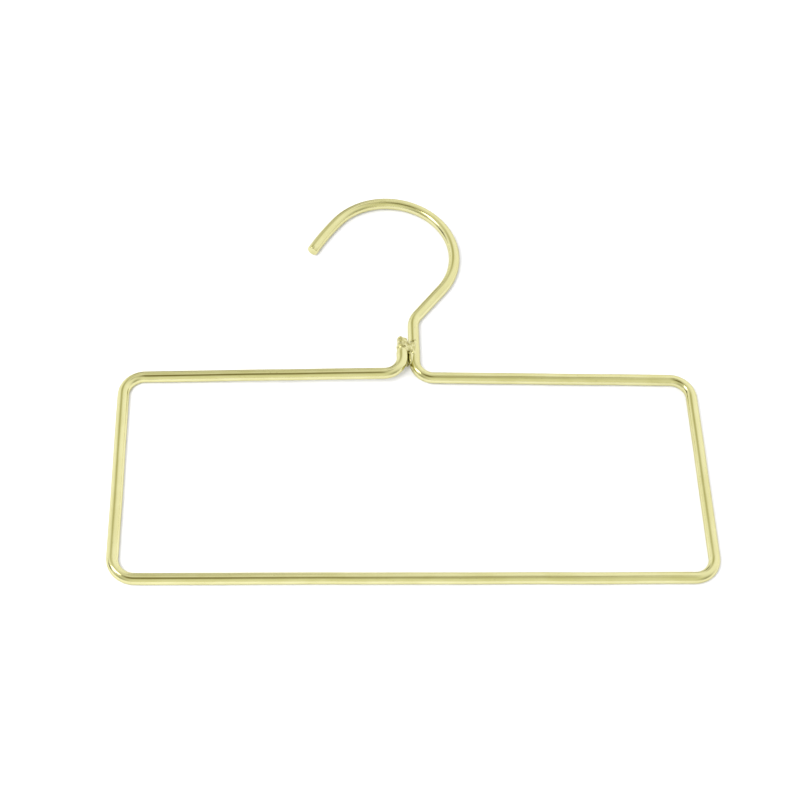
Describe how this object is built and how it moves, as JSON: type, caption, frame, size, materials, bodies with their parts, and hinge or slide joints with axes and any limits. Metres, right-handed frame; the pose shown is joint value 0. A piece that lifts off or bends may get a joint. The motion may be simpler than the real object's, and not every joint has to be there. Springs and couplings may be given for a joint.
{
  "type": "wire hanger",
  "caption": "Flat rectangular hanger bent from one round wire, with an open hook and a welded neck; cloth hangs over its bars or is pegged to them.",
  "frame": {"origin": "middle of the hanger's outline, on the surface that it lies flat on", "axes": "+X along the bottom bar, away from the hook's tip; +Y in the plane of the frame, from the bottom bar towards the hook; +Z out of that plane, away from the surface that it lies on"},
  "size_m": [0.255, 0.198, 0.0097],
  "materials": {
    "wire_plating": "polished",
    "weld_metal": "satin"
  },
  "bodies": {
    "root": {"hanger_wire": "wire_plating", "neck_weld": "weld_metal"}
  },
  "joints": []
}
